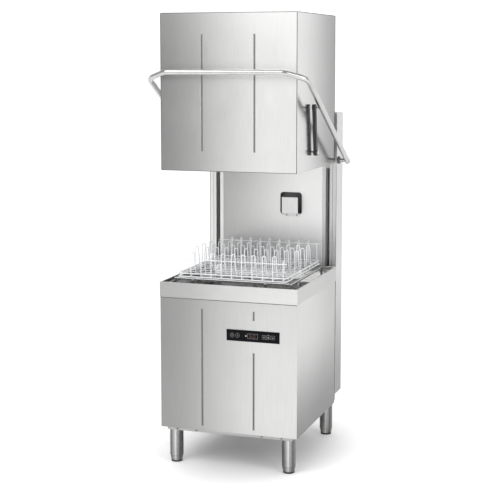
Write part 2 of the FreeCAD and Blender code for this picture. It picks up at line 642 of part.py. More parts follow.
def rack():
    """An open wire rack: a wire mat in a double edge frame, and rows of pegs with rails front and rear."""
    half, half_y = "(rack_width/2)", "(rack_length/2)"
    left_right = (f"-{half} + rack_wire/2", f"{half} - rack_wire/2")
    front_rear = (f"rack_mid - {half_y} + rack_wire/2", f"rack_mid + {half_y} - rack_wire/2")
    wires = []
    for z in ("rack_z + rack_wire/2", "rack_z + rack_ring"):
        for y in front_rear:
            wires.append(wire("x", (f"-{half}", y, z), "rack_wire", "rack_width"))
        for x in left_right:
            wires.append(wire("y", (x, f"rack_mid - {half_y}", z), "rack_wire", "rack_length"))
    for y, z in zip(front_rear, ("rack_z + rack_rail", "rack_z + rear_rail")):
        wires.append(wire("x", (f"-{half}", y, z), "rack_wire", "rack_width"))
    rows = ("rack_mid - rack_row", "rack_mid", "rack_mid + rack_row")
    upright, tall = "rack_wire - 2", "rack_height - rack_wire/2"
    for step in range(-5, 6):
        x = f"{step}*rack_pitch"
        wires.append(wire("y", (x, f"rack_mid - {half_y} + 1", "rack_z + rack_wire"), "rack_wire - 1",
                          "rack_length - 2"))
        for y in front_rear + rows:
            wires.append(wire("z", (x, y, "rack_z + rack_wire/2"), upright, tall))
    for y in rows:
        wires.append(wire("x", (f"-{half} + 1", y, "rack_z + rack_wire/2"), "rack_wire", "rack_width - 2"))
    for step in (-4, -2, 0, 2, 4):
        for x in left_right:
            wires.append(wire("z", (x, f"rack_mid + {step}*rack_pitch", "rack_z + rack_wire/2"), upright,
                              "rack_ring - rack_wire/2"))
    node("rack", fuse(*wires))


# ---------------------------------------------------------------- controls and machinery
def controls():
    left, right = "control_left", "control_left + control_width"
    top = "control_bottom + control_height"
    face = "(panel_front - control_proud)"
    node("control_panel", box((left, right), (face, f"{face} + control_thick"), ("control_bottom", top)))
    node("control_box", box((f"{left} + 4", f"{right} - 4"),
                            (f"{face} + control_thick", "front + tank_front - 8"),
                            ("control_bottom - 40", f"{top} + 20")))


def machinery():
    deck = "base_top"
    pump_y = "(rack_mid - pump_ahead)"
    pump_z = f"({deck} + pump_diameter/2 + 12)"
    motor = rod("x", ("-pump_length", pump_y, pump_z), "pump_diameter", "pump_length")
    volute = rod("x", ("0", pump_y, pump_z), "pump_diameter + 20", "50")
    plinth = box(("-pump_length + 20", "-20"), (f"{pump_y} - 50", f"{pump_y} + 50"), (deck, pump_z))
    outlet = rod("z", ("25", f"{pump_y} + 40", pump_z), "hose_diameter", "pump_diameter/2 + 30")
    node("wash_pump", fuse(motor, volute, plinth, outlet))

    top, wall = f"{deck} + boiler_height", "boiler_wall"
    outer = [("boiler_port/2", deck), ("boiler_diameter/2 - 20", deck), ("boiler_diameter/2", f"{deck} + 20"),
             ("boiler_diameter/2", f"{top} - 24"), ("boiler_diameter/2 - 24", top), ("32", top),
             ("32", f"{top} + 10"), ("22", f"{top} + 10"), ("22", f"{top} + 24"), ("0", f"{top} + 24")]
    inner = [("0", f"{top} - {wall}"), ("boiler_diameter/2 - 24", f"{top} - {wall}"),
             (f"boiler_diameter/2 - {wall}", f"{top} - 24 - {wall}"),
             (f"boiler_diameter/2 - {wall}", f"{deck} + 20 + {wall}"),
             ("boiler_diameter/2 - 20", f"{deck} + {wall}"), ("boiler_port/2", f"{deck} + {wall}")]
    node("boiler", turned(outer + inner, ("boiler_x", "rack_mid + boiler_behind", 0)))
    for label, x, y, across, tall in (
        ("drain_pump", "-drain_x", "rack_mid + drain_behind", "84", "130"),
        ("rinse_pump", "-rinse_pump_x", "rack_mid + rinse_behind", "92", "170"),
    ):
        body_part = rod("z", (x, y, deck), across, tall)
        head = rod("z", (x, y, f"{deck} + {tall}"), f"{across} + 18", "36")
        node(label, fuse(body_part, head))
    for label, x in (("detergent_pump", "detergent_x"), ("rinse_aid_pump", "rinse_aid_x")):
        case = box((f"{x} - 26", f"{x} + 26"), ("front + 30", "front + 90"), (deck, f"{deck} + 80"))
        wheel = rod("y", (x, "front + 18", f"{deck} + 46"), "44", "12")
        node(label, fuse(case, wheel))
    block = box(("-valve_x - 30", "-valve_x + 30"), ("back - 60", "back - sheet"), (deck, f"{deck} + 50"))
    valve = fuse(block,
                 rod("z", ("-valve_x", "back - 34", f"{deck} + 50"), "30", "36"))
    node("inlet_valve", valve)

    start = point("25", f"{pump_y} + 40", f"{pump_z} + pump_diameter/2 + 30")
    corner_z = value("tank_bottom - 40 - (upper_pipe - 8)/2")
    riser_y = value("column_front + riser_back")
    rise = [start, Vector(start.x, start.y, corner_z), Vector(start.x, riser_y, corner_z),
            Vector(0, riser_y, corner_z + 60)]
    crown = point("0", "column_front + riser_back", "upper_pipe_z")
    rise += [crown, point("0", "column_front + 24", "upper_pipe_z")]
    node("delivery_pipe", piped(rise, value("upper_pipe") - 8, 24))
    inlet = point("suction_x", "rack_mid", "tank_bottom")
    node("suction_hose", piped(
        [inlet, Vector(inlet.x, inlet.y, inlet.z - 150), Vector(inlet.x, value(pump_y), value(pump_z)),
         point("50", pump_y, pump_z)],
        value("hose_diameter") - 6, 22))


base_frame()
legs()
base_screws()
front_panel()
side_panels()
rear_panels()
vent_cover()
columns()
hood()
handle()
tank_rim()
wash_tank()
tank_fittings()
wash_zone()
rack_support()
rack()
controls()
machinery()

doc.recompute()
for item in doc.Objects:
    if "Invalid" in item.State or "Error" in item.State:
        raise RuntimeError(f"{item.Name} ({item.Label}): {item.State}")
for item in nodes:
    if item.Shape.isNull() or not item.Shape.isValid() or not item.Shape.Solids:
        raise RuntimeError(f"{item.Label} has no valid solid")

os.makedirs("parts", exist_ok=True)
for item in nodes:
    item.Shape.exportStep(f"parts/{item.Label}.step")
print(len(nodes), "sub-parts")
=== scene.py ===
"""Looks of the hood-type dishwasher: materials, wire rack, panel marks, fittings, light and camera."""
import math

import bmesh
import bpy
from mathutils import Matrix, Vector


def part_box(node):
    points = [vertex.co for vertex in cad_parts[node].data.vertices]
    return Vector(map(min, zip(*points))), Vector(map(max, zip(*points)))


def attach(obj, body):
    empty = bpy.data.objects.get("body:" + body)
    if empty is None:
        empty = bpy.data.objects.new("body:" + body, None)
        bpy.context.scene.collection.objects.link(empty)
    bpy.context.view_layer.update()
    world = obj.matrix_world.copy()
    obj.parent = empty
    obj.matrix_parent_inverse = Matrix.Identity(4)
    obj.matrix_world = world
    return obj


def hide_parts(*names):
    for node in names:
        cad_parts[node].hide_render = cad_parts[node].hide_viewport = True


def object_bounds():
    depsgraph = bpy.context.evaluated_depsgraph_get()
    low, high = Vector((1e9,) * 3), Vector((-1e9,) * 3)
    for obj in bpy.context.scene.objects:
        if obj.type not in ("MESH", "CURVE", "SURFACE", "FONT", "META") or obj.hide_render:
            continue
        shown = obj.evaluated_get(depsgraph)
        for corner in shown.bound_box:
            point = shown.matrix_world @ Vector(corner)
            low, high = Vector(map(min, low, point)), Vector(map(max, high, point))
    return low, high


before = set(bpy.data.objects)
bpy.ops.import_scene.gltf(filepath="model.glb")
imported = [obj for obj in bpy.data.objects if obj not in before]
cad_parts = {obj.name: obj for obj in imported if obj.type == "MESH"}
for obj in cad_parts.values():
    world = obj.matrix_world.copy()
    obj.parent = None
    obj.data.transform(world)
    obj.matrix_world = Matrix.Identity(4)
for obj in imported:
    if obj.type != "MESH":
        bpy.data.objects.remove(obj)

cad_low, cad_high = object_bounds()
MM = 0.001


# ---------------------------------------------------------------- node graph helpers
class Graph:
    """A short way to write a material's nodes."""

    def __init__(self, name):
        self.material = bpy.data.materials.new(name)
        self.material.use_nodes = True
        self.tree = self.material.node_tree
        self.tree.nodes.clear()
        self.shader = self.add("ShaderNodeBsdfPrincipled")
        output = self.add("ShaderNodeOutputMaterial")
        self.link(self.shader.outputs["BSDF"], output.inputs["Surface"])
        self.coords = self.add("ShaderNodeTexCoord").outputs["Object"]

    def add(self, kind):
        return self.tree.nodes.new(kind)

    def link(self, source, target):
        self.tree.links.new(source, target)

    def put(self, target, item):
        """Feeds a socket from another socket or sets its own value."""
        if isinstance(item, bpy.types.NodeSocket):
            self.link(item, target)
        else:
            target.default_value = item

    def math(self, operation, first, second=0.0, clamp=False):
        item = self.add("ShaderNodeMath")
        item.operation = operation
        item.use_clamp = clamp
        self.put(item.inputs[0], first)
        self.put(item.inputs[1], second)
        return item.outputs[0]

    def span(self, value, low, high, start, stop):
        """A value taken from low..high to start..stop, smoothly and held at its ends."""
        item = self.add("ShaderNodeMapRange")
        item.interpolation_type = "SMOOTHSTEP"
        self.put(item.inputs["Value"], value)
        for socket, number in (("From Min", low), ("From Max", high), ("To Min", start), ("To Max", stop)):
            item.inputs[socket].default_value = number
        return item.outputs["Result"]

    def stretched(self, scale):
        item = self.add("ShaderNodeMapping")
        item.inputs["Scale"].default_value = scale
        self.link(self.coords, item.inputs["Vector"])
        return item.outputs["Vector"]

    def noise(self, scale, detail=3.0, stretch=(1, 1, 1), rough=0.5):
        item = self.add("ShaderNodeTexNoise")
        item.inputs["Scale"].default_value = scale
        item.inputs["Detail"].default_value = detail
        item.inputs["Roughness"].default_value = rough
        self.link(self.stretched(stretch), item.inputs["Vector"])
        return item.outputs["Fac"]

    def mix(self, factor, first, second):
        item = self.add("ShaderNodeMix")
        item.data_type = "FLOAT"
        self.put(item.inputs["Factor"], factor)
        self.put(item.inputs["A"], first)
        self.put(item.inputs["B"], second)
        return item.outputs["Result"]

    def tint(self, value, colour):
        """A grey value turned into a colour by multiplying a tint."""
        item = self.add("ShaderNodeMix")
        item.data_type = "RGBA"
        item.blend_type = "MULTIPLY"
        item.inputs["Factor"].default_value = 1.0
        item.inputs["A"].default_value = (*colour, 1.0)
        grey = self.add("ShaderNodeCombineColor")
        for channel in ("Red", "Green", "Blue"):
            self.link(value, grey.inputs[channel])
        self.link(grey.outputs["Color"], item.inputs["B"])
        return item.outputs["Result"]

    def relief(self, height, strength, distance, edge=0.0):
        """Bump on the normal, over edges rounded by a small radius."""
        bump = self.add("ShaderNodeBump")
        bump.inputs["Strength"].default_value = strength
        bump.inputs["Distance"].default_value = distance
        self.link(height, bump.inputs["Height"])
        if edge:
            rounded = self.add("ShaderNodeBevel")
            rounded.samples = 4
            rounded.inputs["Radius"].default_value = edge
            self.link(rounded.outputs["Normal"], bump.inputs["Normal"])
        self.link(bump.outputs["Normal"], self.shader.inputs["Normal"])

    def finish(self, colour, roughness, metallic=0.0, coat=0.0):
        self.put(self.shader.inputs["Base Color"], colour)
        self.put(self.shader.inputs["Roughness"], roughness)
        self.shader.inputs["Metallic"].default_value = metallic
        self.shader.inputs["Coat Weight"].default_value = coat
        return self.material


STEEL_TINT = (1.0, 0.998, 0.99)


def brushed_steel_painted_light(name, front, side, other, grain="z", edge=0.0028, roughness=0.36, foot=(0.0, 0.1, 1.0)):
    """Brushed sheet with painted light and shade. front is the (start, stop) tones across X on the front and
    back faces, a painted gradient of light; side the tones along Y on the side faces, a painted gradient of
    reflection and shade; other the tone of level faces, set apart from the upright faces as painted light.
    foot is (low, high, share): side faces fall to that share of their tone from the high to the low height, a
    painted shade towards the bottom."""
    graph = Graph(name)
    place = graph.add("ShaderNodeSeparateXYZ")
    graph.link(graph.coords, place.inputs["Vector"])
    facing = graph.add("ShaderNodeSeparateXYZ")
    graph.link(graph.add("ShaderNodeNewGeometry").outputs["True Normal"], facing.inputs["Vector"])
    # Painted light and shade: tones across X and along Y, darker towards the foot, and another tone on level
    # faces.
    across = graph.span(place.outputs["X"], cad_low.x * 0.9, cad_high.x * 0.55, *front)
    along = graph.span(place.outputs["Y"], cad_low.y * 0.8, cad_high.y * 0.8, *side)
    along = graph.math("MULTIPLY", along, graph.span(place.outputs["Z"], foot[0], foot[1], foot[2], 1.0))
    sideways = graph.math("GREATER_THAN", graph.math("ABSOLUTE", facing.outputs["X"]), 0.6)
    level = graph.math("GREATER_THAN", graph.math("ABSOLUTE", facing.outputs["Z"]), 0.6)
    tone = graph.mix(level, graph.mix(sideways, across, along), other)
    stretch = {"z": (1, 1, 0.012), "x": (0.012, 1, 1), "y": (1, 0.012, 1)}[grain]
    grain_lines = graph.noise(900, 2.0, stretch, 0.65)
    clouds = graph.noise(2.3, 2.0)
    smears = graph.noise(7.0, 4.0, (1, 1, 0.35))
    streaked = graph.math("MULTIPLY", tone, graph.span(grain_lines, 0.3, 0.7, 0.955, 1.045))
    cloudy = graph.math("MULTIPLY", streaked, graph.span(clouds, 0.3, 0.7, 0.975, 1.025))
    shine = graph.math("ADD", graph.span(grain_lines, 0.25, 0.75, roughness - 0.05, roughness + 0.06),
                       graph.span(smears, 0.45, 0.75, 0.0, 0.05))
    shine = graph.math("MULTIPLY", shine, graph.mix(sideways, 1.0, 0.42))
    graph.relief(grain_lines, 0.10, 0.00006, edge)
    graph.shader.inputs["Anisotropic"].default_value = 0.35
    return graph.finish(graph.tint(cloudy, STEEL_TINT), shine, metallic=1.0)


def plain_steel(name, tone, roughness=0.3, tint=STEEL_TINT, scale=60, edge=0.0006):
    """Satin or polished metal with faint handling marks."""
    graph = Graph(name)
    marks = graph.noise(scale, 4.0)
    fine = graph.noise(scale * 9, 2.0)
    shade = graph.math("MULTIPLY", graph.span(marks, 0.3, 0.7, tone * 0.94, tone * 1.04),
                       graph.span(fine, 0.3, 0.7, 0.98, 1.02))
    graph.relief(fine, 0.08, 0.00005, edge)
    shine = graph.span(marks, 0.3, 0.7, roughness - 0.04, roughness + 0.07)
    return graph.finish(graph.tint(shade, tint), shine, metallic=1.0)


VIEW_RIGHT = (0.948, 0.318, 0.0)


def tube_steel_painted_reflections(name, bands, roughness=0.2):
    """Polished upright tube with painted reflections. bands are (place, tone) pairs across its width as the
    front
    right sees it: a painted highlight between painted shaded edges.
    """
    graph = Graph(name)
    across = graph.add("ShaderNodeVectorMath")
    across.operation = "DOT_PRODUCT"
    graph.link(graph.add("ShaderNodeNewGeometry").outputs["Normal"], across.inputs[0])
    across.inputs[1].default_value = VIEW_RIGHT
    ramp = graph.add("ShaderNodeValToRGB")
    ramp.color_ramp.interpolation = "EASE"
    graph.link(graph.span(across.outputs["Value"], -1.0, 1.0, 0.0, 1.0), ramp.inputs["Fac"])
    for index, (place, tone) in enumerate(bands):
        stops = ramp.color_ramp.elements
        stop = stops[index] if index < 2 else stops.new(place)
        stop.position = place
        stop.color = (tone, tone, tone, 1.0)
    marks = graph.noise(60, 3.0)
    shade = graph.math("MULTIPLY", ramp.outputs["Color"], graph.span(marks, 0.3, 0.7, 0.94, 1.05))
    graph.relief(marks, 0.05, 0.00005, 0.0006)
    shine = graph.span(marks, 0.3, 0.7, roughness - 0.03, roughness + 0.05)
    return graph.finish(graph.tint(shade, STEEL_TINT), shine, metallic=1.0)


def moulded(name, colour, roughness=0.45, grain=1200, coat=0.0, edge=0.0006, depth=0.00005, gloss=0.5):
    """Plastic, rubber or paint with a fine surface grain and slightly uneven colour."""
    graph = Graph(name)
    grains = graph.noise(grain, 2.0)
    patches = graph.noise(14, 3.0)
    shade = graph.math("MULTIPLY", graph.span(patches, 0.3, 0.7, 0.93, 1.05),
                       graph.span(grains, 0.3, 0.7, 0.97, 1.03))
    graph.relief(grains, 0.25, depth, edge)
    graph.shader.inputs["Specular IOR Level"].default_value = gloss
    shine = graph.span(patches, 0.3, 0.7, roughness - 0.05, roughness + 0.08)
    return graph.finish(graph.tint(shade, colour), shine, coat=coat)


def perforated_steel(name, tone, pitch, hole):
    """Satin sheet with a square pattern of round holes, painted near black in the holes as the shade seen
    through them.
    """
    graph = Graph(name)
    place = graph.add("ShaderNodeSeparateXYZ")
    graph.link(graph.stretched((1 / pitch, 1 / pitch, 1)), place.inputs["Vector"])
    offsets = []
    for axis in ("X", "Y"):
        cell = graph.math("SUBTRACT", graph.math("FRACT", place.outputs[axis]), 0.5)
        offsets.append(graph.math("MULTIPLY", cell, cell))
    reach = graph.math("SQRT", graph.math("ADD", offsets[0], offsets[1]))
    solid = graph.span(reach, hole / pitch / 2 - 0.04, hole / pitch / 2 + 0.04, 0.0, 1.0)
    marks = graph.noise(40, 3.0)
    shade = graph.math("MULTIPLY", graph.mix(solid, 0.03, tone), graph.span(marks, 0.3, 0.7, 0.93, 1.04))
    graph.relief(solid, 0.6, 0.0006)
    return graph.finish(graph.tint(shade, STEEL_TINT), graph.mix(solid, 0.8, 0.3), metallic=1.0)


def lit_mark(name, colour, glow=0.0):
    """Printed or lit graphics behind the panel glass."""
    graph = Graph(name)
    patches = graph.noise(300, 2.0)
    shade = graph.span(patches, 0.3, 0.7, 0.85, 1.1)
    colour_socket = graph.tint(shade, colour)
    graph.link(colour_socket, graph.shader.inputs["Emission Color"])
    graph.shader.inputs["Emission Strength"].default_value = glow
    return graph.finish(colour_socket, 0.4)


# Painted reflection bands across a leg as the front right sees it: shaded edges, a highlight left of the
# middle.
LEG_PAINTED_REFLECTION_BANDS = ((0.0, 0.12), (0.12, 0.26), (0.28, 0.44), (0.42, 0.62), (0.54, 0.34), (0.70, 0.27), (0.85, 0.12),
             (1.0, 0.2))

# The tone pairs given to the brushed sheets below are painted light and shade on their faces.
MATERIALS = {
    "hood": brushed_steel_painted_light("hood_sheet", (0.32, 0.88), (0.62, 0.17), 0.62),
    "body": brushed_steel_painted_light("body_sheet", (0.295, 0.63), (0.57, 0.39), 0.62, foot=(0.16, 0.62, 0.20)),
    "rim": brushed_steel_painted_light("rim_sheet", (0.42, 0.72), (0.46, 0.38), 0.72, grain="x"),
    "column": brushed_steel_painted_light("column_sheet", (0.82, 0.70), (0.52, 0.52), 0.6, foot=(0.2, 0.9, 0.30)),
    "back": brushed_steel_painted_light("back_sheet", (0.42, 1.0), (0.5, 0.5), 0.5),
    "vent": brushed_steel_painted_light("vent_plate_sheet", (0.7, 0.86), (0.5, 0.5), 0.6),
    "tank": brushed_steel_painted_light("tank_sheet", (0.42, 0.5), (0.46, 0.4), 0.55, grain="y", roughness=0.3),
    "liner": brushed_steel_painted_light("liner_sheet", (0.5, 0.5), (0.5, 0.5), 0.5, roughness=0.3),
    "satin": plain_steel("satin_steel", 0.55, 0.34),
    "base": plain_steel("base_frame_steel", 0.42, 0.34),
    "channel": moulded("guide_strip_grey", (0.52, 0.52, 0.51), 0.4, grain=500),
    "leg": tube_steel_painted_reflections("leg_steel", LEG_PAINTED_REFLECTION_BANDS, 0.2),
    "foot": tube_steel_painted_reflections("foot_steel", LEG_PAINTED_REFLECTION_BANDS, 0.26),
    "polished": plain_steel("polished_tube_steel", 0.56, 0.17, scale=25),
    "rod": plain_steel("polished_rod_steel", 0.42, 0.22, scale=60),
    # Dark tones that paint shade: in recesses, the steam duct and the louvres, and in creases, folds and
    # gaps.
    "recess_shade": plain_steel("groove_shadow_steel", 0.23, 0.5, scale=40),
    "crease_shade": plain_steel("crease_shade_steel", 0.16, 0.5, scale=40),
    "screw": plain_steel("screw_steel", 0.30, 0.4, scale=200),
    "spring": plain_steel("spring_wire_steel", 0.35, 0.35, scale=120),
    "brass": plain_steel("valve_brass", 0.7, 0.32, (1.0, 0.78, 0.42), scale=90),
    "element": plain_steel("heater_sheath", 0.36, 0.42, (1.0, 0.93, 0.86), scale=90),
    "strainer": perforated_steel("strainer_sheet", 0.55, 0.006, 0.0032),
    "black": moulded("black_nylon", (0.018, 0.018, 0.019), 0.42),
    "dark": moulded("socket_shade_black", (0.012, 0.012, 0.013), 0.8),
    "glass": moulded("panel_glass_black", (0.008, 0.008, 0.009), 0.3, depth=0.00001, gloss=0.03),
    "coating": moulded("rack_white_coating", (0.86, 0.875, 0.89), 0.3, grain=500, coat=0.2),
    "white": moulded("white_plastic_pipe", (0.78, 0.78, 0.76), 0.35),
    "grey": moulded("grey_plastic_moulding", (0.30, 0.31, 0.32), 0.45),
    "case": moulded("control_case_plastic", (0.09, 0.09, 0.095), 0.5),
    "paint": moulded("motor_enamel", (0.06, 0.12, 0.24), 0.35, grain=300, coat=0.2),
    "rubber": moulded("hose_rubber_black", (0.022, 0.022, 0.022), 0.6, grain=700, depth=0.0002),
    "print": lit_mark("panel_print_grey", (0.20, 0.205, 0.21), 0.05),
    "lamp": lit_mark("panel_lamp_white", (0.45, 0.46, 0.47), 0.12),
    "digits": lit_mark("panel_digits_red", (0.14, 0.06, 0.05), 0.06),
}

NODE_FINISH = {
    "hood_shell": "hood", "hood_liner": "liner", "hood_guide_left": "satin", "hood_guide_right": "satin",
    "front_panel": "body", "side_panel_left": "body", "side_panel_right": "body", "rear_panel": "back",
    "back_panel": "back", "tank_rim": "rim", "wash_tank": "tank", "tank_filter": "strainer",
    "column_left": "column", "column_right": "column", "column_cap_left": "column",
    "column_cap_right": "column", "vent_cover": "vent", "base_frame": "base", "base_screws": "screw",
    "handle_bar": "polished", "handle_shaft": "polished", "link_pin_left": "polished",
    "link_pin_right": "polished", "link_left": "black", "link_right": "black", "link_stud_left": "polished",
    "link_stud_right": "polished", "shaft_bearing_left": "case", "shaft_bearing_right": "case",
    "spring_left": "spring", "spring_right": "spring", "overflow_pipe": "white", "tank_heater": "element",
    "lower_wash_arm": "satin", "upper_wash_arm": "satin", "lower_rinse_arm": "satin",
    "upper_rinse_arm": "satin", "lower_manifold": "grey", "upper_manifold": "satin", "rack_support": "rod",
    "rack": "coating", "control_panel": "glass", "control_box": "case", "wash_pump": "paint",
    "rinse_pump": "paint", "boiler": "satin", "drain_pump": "grey", "detergent_pump": "case",
    "rinse_aid_pump": "case", "inlet_valve": "brass", "delivery_pipe": "rubber", "suction_hose": "rubber",
}
CORNERS = ("front_left", "front_right", "rear_left", "rear_right")
for corner in CORNERS:
    NODE_FINISH[f"leg_{corner}"] = "leg"
    NODE_FINISH[f"foot_{corner}"] = "foot"


def dress_nodes():
    for name, finish in NODE_FINISH.items():
        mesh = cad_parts[name].data
        mesh.materials.clear()
        mesh.materials.append(MATERIALS[finish])


# ---------------------------------------------------------------- mesh helpers
def piece(name, mesh_or_bmesh, finish, body):
    """A mesh object in the row frame that rides on a body."""
    mesh = mesh_or_bmesh
    if isinstance(mesh_or_bmesh, bmesh.types.BMesh):
        mesh = bpy.data.meshes.new(name)
        mesh_or_bmesh.to_mesh(mesh)
        mesh_or_bmesh.free()
    mesh.materials.append(MATERIALS[finish])
    item = bpy.data.objects.new(name, mesh)
    bpy.context.scene.collection.objects.link(item)
    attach(item, body)
    return item


def add_block(mesh, low, high):
    """A block between two corners, added to a bmesh."""
    corners = [mesh.verts.new((x, y, z)) for x in (low[0], high[0]) for y in (low[1], high[1])
               for z in (low[2], high[2])]
    for a, b, c, d in ((0, 1, 3, 2), (4, 6, 7, 5), (0, 4, 5, 1), (2, 3, 7, 6), (0, 2, 6, 4), (1, 5, 7, 3)):
        mesh.faces.new((corners[a], corners[b], corners[c], corners[d]))


def blocks(name, spans, finish, body, bevel=0.0):
    mesh = bmesh.new()
    for low, high in spans:
        add_block(mesh, low, high)
    bmesh.ops.recalc_face_normals(mesh, faces=mesh.faces)
    if bevel:
        bmesh.ops.bevel(mesh, geom=list(mesh.edges), offset=bevel, segments=2, affect="EDGES")
    return piece(name, mesh, finish, body)


def rounded(points, radius, steps=5):
    """A route with its corners turned into short arcs."""
    route = [Vector(points[0])]
    for before, corner, after in zip(points, points[1:], points[2:]):
        corner = Vector(corner)
        back = (Vector(before) - corner)
        ahead = (Vector(after) - corner)
        reach = min(radius, back.length * 0.45, ahead.length * 0.45)
        start = corner + back.normalized() * reach
        end = corner + ahead.normalized() * reach
        for step in range(steps + 1):
            t = step / steps
            route.append(start * (1 - t) ** 2 + corner * 2 * t * (1 - t) + end * t ** 2)
    route.append(Vector(points[-1]))
    return route


def wires(name, routes, diameter, finish, body, closed=False):
    """Round wires along routes, as one curve piece."""
    curve = bpy.data.curves.new(name, "CURVE")
    curve.dimensions = "3D"
    curve.bevel_depth = diameter / 2
    curve.bevel_resolution = 3
    curve.use_fill_caps = True
    for route in routes:
        spline = curve.splines.new("POLY")
        spline.points.add(len(route) - 1)
        for slot, place in zip(spline.points, route):
            slot.co = (*place, 1.0)
        spline.use_cyclic_u = closed
    curve.materials.append(MATERIALS[finish])
    item = bpy.data.objects.new(name, curve)
    bpy.context.scene.collection.objects.link(item)
    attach(item, body)
    return item


def disc(mesh, centre, radius, depth, axis="y", sides=24, inner=0.0):
    """A disc or a ring of some depth along an axis, added to a bmesh."""
    turns = [2 * math.pi * step / sides for step in range(sides)]
    loops = []
    for across in ((radius, inner) if inner else (radius,)):
        for push in (0.0, depth):
            loop = []
            for turn in turns:
                a, b = across * math.cos(turn), across * math.sin(turn)
                offset = {"y": (a, push, b), "x": (push, a, b), "z": (a, b, push)}[axis]
                loop.append(mesh.verts.new(Vector(centre) + Vector(offset)))
            loops.append(loop)
    pairs = ((0, 1), (1, 3), (3, 2), (2, 0)) if inner else ((0, 1),)
    for one, two in pairs:
        for step in range(sides):
            nxt = (step + 1) % sides
            mesh.faces.new((loops[one][step], loops[one][nxt], loops[two][nxt], loops[two][step]))
    if not inner:
        mesh.faces.new(loops[0])
        mesh.faces.new(loops[1])


# ---------------------------------------------------------------- wire rack
PEGS_EACH_WAY = 5


def wire_rack():
    """A coated wire rack: double base frame, wire mat, fence rails and rows of bent peg loops."""
    low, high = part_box("rack")
    thick, thin = 6 * MM, 4.2 * MM
    half = thick / 2
    middle = (low + high) / 2
    pitch = (high.x - low.x - 35 * MM) / (2 * PEGS_EACH_WAY)
    cross_pitch, row_gap, corner = 46 * MM, 90 * MM, 16 * MM
    left, right, front, rear = low.x + half, high.x - half, low.y + half, high.y - half
    base, top = low.z + half, high.z - thin / 2
    mat, ring = base + 5 * MM, base + 14 * MM
    front_rail, rear_rail = base + 76 * MM, base + 90 * MM
    tip, post_tip = top + 1.5 * MM, top - 10 * MM

    def square(z, inset=0.0):
        x0, x1, y0, y1 = left + inset, right - inset, front + inset, rear - inset
        corners = [(x0, middle.y, z), (x0, y0, z), (x1, y0, z), (x1, y1, z), (x0, y1, z), (x0, middle.y, z)]
        return rounded(corners, corner)[:-1]

    def peg(x, y, lean):
        """An upright wire that bends over and runs down to the mat beside its foot."""
        over_x, over_y = x + 11 * MM, y + lean * 12 * MM
        return rounded([(x, y, base - 1 * MM), (x, y, tip), (over_x, over_y, tip),
                        (over_x + 2 * MM, over_y + lean * 14 * MM, mat)], 8 * MM)

    frames = wires("rack_frames", [square(base), square(ring, 1.5 * MM)], thick, "coating", "dish_rack", True)
    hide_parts("rack")
    steps = range(-PEGS_EACH_WAY, PEGS_EACH_WAY + 1)
    routes = []
    for step in steps:
        x = middle.x + step * pitch
        routes.append([(x, front, mat), (x, rear, mat)])
        for y in (middle.y - row_gap, middle.y, middle.y + row_gap):
            routes.append(peg(x, y, 1))
        for y, lean in ((front, 1), (rear, -1)):
            if abs(step) == PEGS_EACH_WAY:
                routes.append([(x, y, base), (x, y, post_tip)])
            else:
                routes.append(peg(x, y, lean))
    for step in steps:
        y = middle.y + step * cross_pitch
        routes.append([(left, y, mat + 4 * MM), (right, y, mat + 4 * MM)])
        for x in (left, right):
            routes.append([(x, y, base), (x, y, ring)])
    for y, rail in ((front - 0.5 * MM, front_rail), (rear + 0.5 * MM, rear_rail)):
        routes.append([(left - 1 * MM, y, rail), (right + 1 * MM, y, rail)])
    fence = wires("rack_wires", routes, thin, "coating", "dish_rack")


# ---------------------------------------------------------------- control panel graphics
def control_marks():
    """Marks behind the panel glass: two touch keys, a lamp, a display and three symbols in boxes."""
    low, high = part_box("control_panel")
    face = low.y
    depth = 0.25 * MM
    level = (low.z + high.z) / 2
    key_power, key_start = low.x + 25 * MM, low.x + 49 * MM
    symbols = [low.x + across * MM for across in (168, 188, 208)]
    display = low.x + 117.5 * MM

    def mark(mesh, x, z, half_width, half_height):
        """A flat mark round a middle; the half sizes are in millimetres."""
        add_block(mesh, (x - half_width * MM, face - depth, z - half_height * MM),
                  (x + half_width * MM, face, z + half_height * MM))

    keys = bmesh.new()
    for x in (key_power, key_start):
        disc(keys, (x, face - depth, level), 9.5 * MM, depth, sides=36, inner=8.3 * MM)
    disc(keys, (key_power, face - depth, level), 4.2 * MM, depth, sides=24, inner=3.2 * MM)
    mark(keys, key_power, level + 3.2 * MM, 0.5, 2.2)
    mark(keys, key_start, level, 4, 0.5)
    mark(keys, key_start, level, 0.5, 4)
    line = 0.55
    for x, half_width, half_height in ((display, 23.5, 11), *((symbol, 8.5, 8.5) for symbol in symbols)):
        for z in (level + (line - half_height) * MM, level + (half_height - line) * MM):
            mark(keys, x, z, half_width, line)
        for side in (x + (line - half_width) * MM, x + (half_width - line) * MM):
            mark(keys, side, level, line, half_height)
    piece("panel_print", keys, "print", "machine")

    lamps = bmesh.new()
    disc(lamps, (low.x + 87 * MM, face - depth, level), 3 * MM, depth)
    disc(lamps, (symbols[0], face - depth, level), 2.6 * MM, depth, inner=1.6 * MM)
    disc(lamps, (symbols[1], face - depth, level - 1 * MM), 2.6 * MM, depth)
    disc(lamps, (symbols[1], face - depth, level + 9.5 * MM), 1.6 * MM, depth)
    disc(lamps, (symbols[2], face - depth, level - 1 * MM), 2.2 * MM, depth, sides=6)
    piece("panel_lamps", lamps, "lamp", "machine")

    digits = bmesh.new()
    segments = {"top": (0, 1, 1), "middle": (0, 0, 1), "bottom": (0, -1, 1),
                "upper_left": (-1, 0.5, 0), "upper_right": (1, 0.5, 0),
                "lower_left": (-1, -0.5, 0), "lower_right": (1, -0.5, 0)}
    shown = (("top", "middle", "bottom", "upper_left", "lower_left", "lower_right"),
             ("top", "bottom", "upper_left", "upper_right", "lower_left", "lower_right"))
    for centre_x, lit in zip((low.x + 109 * MM, low.x + 124 * MM), shown):
        for name in lit:
            dx, dz, flat = segments[name]
            mark(digits, centre_x + dx * 4 * MM, level + dz * 6.5 * MM, *((3.2, 0.7) if flat else (0.7, 2.6)))
    piece("panel_digits", digits, "digits", "machine")
